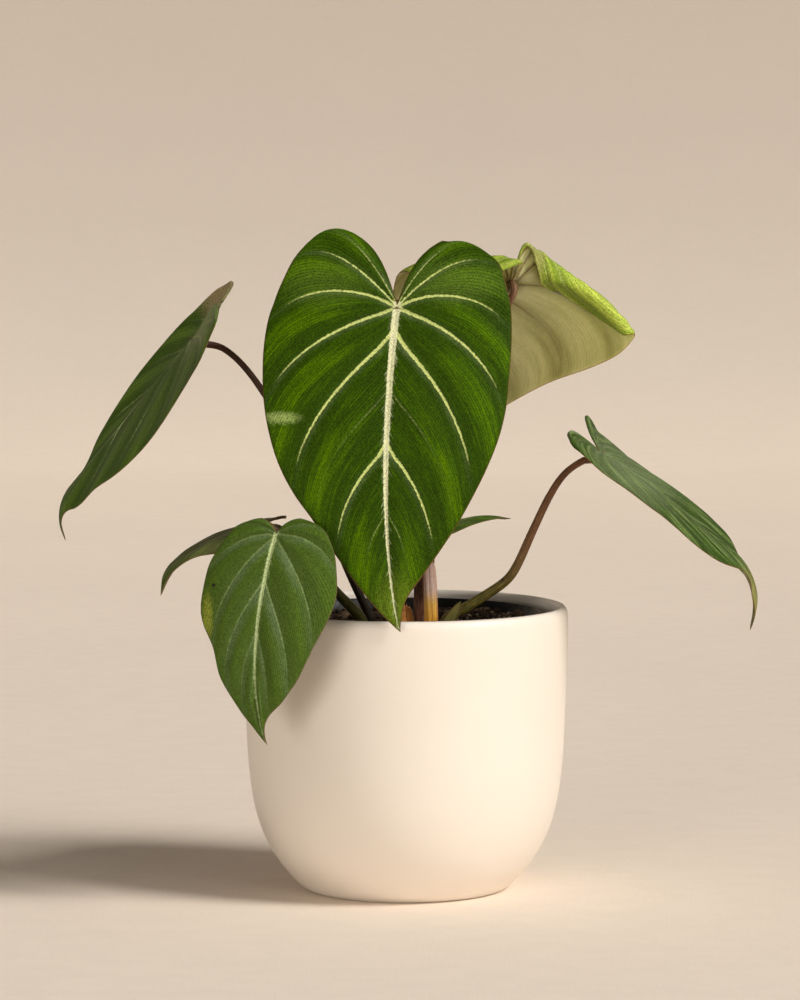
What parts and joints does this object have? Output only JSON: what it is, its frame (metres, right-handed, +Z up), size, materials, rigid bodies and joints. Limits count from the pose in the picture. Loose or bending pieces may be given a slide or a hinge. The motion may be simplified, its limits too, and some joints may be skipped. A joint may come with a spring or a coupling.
{
  "type": "potted philodendron",
  "caption": "Potted aroid house plant: velvety heart-shaped leaves with pale veins on slender petioles, standing in dark bark soil inside a plain cream glazed pot.",
  "frame": {"origin": "centre of the cachepot's flat underside", "axes": "+Z up, -Y towards the front, where the largest leaf faces; +X to the right seen from the front"},
  "size_m": [0.3362, 0.1783, 0.3162],
  "materials": {
    "glaze": "satin",
    "nursery_plastic": "matte",
    "soil": "matte",
    "leaf": "matte",
    "young_leaf": "matte",
    "petiole": "satin",
    "sheath": "matte"
  },
  "bodies": {
    "root": {"pot": "glaze", "nursery_pot": "nursery_plastic", "soil": "soil", "blade_main": "leaf", "petiole_main": "petiole", "blade_upper_left": "leaf", "petiole_upper_left": "petiole", "blade_back_right": "young_leaf", "petiole_back_right": "petiole", "blade_right": "leaf", "petiole_right": "petiole", "blade_lower_left": "leaf", "petiole_lower_left": "petiole", "blade_left_back": "leaf", "petiole_left_back": "petiole", "blade_hidden": "leaf", "petiole_hidden": "petiole", "cataphyll": "sheath", "sheath_brown": "sheath", "sheath_right": "sheath"}
  },
  "joints": []
}
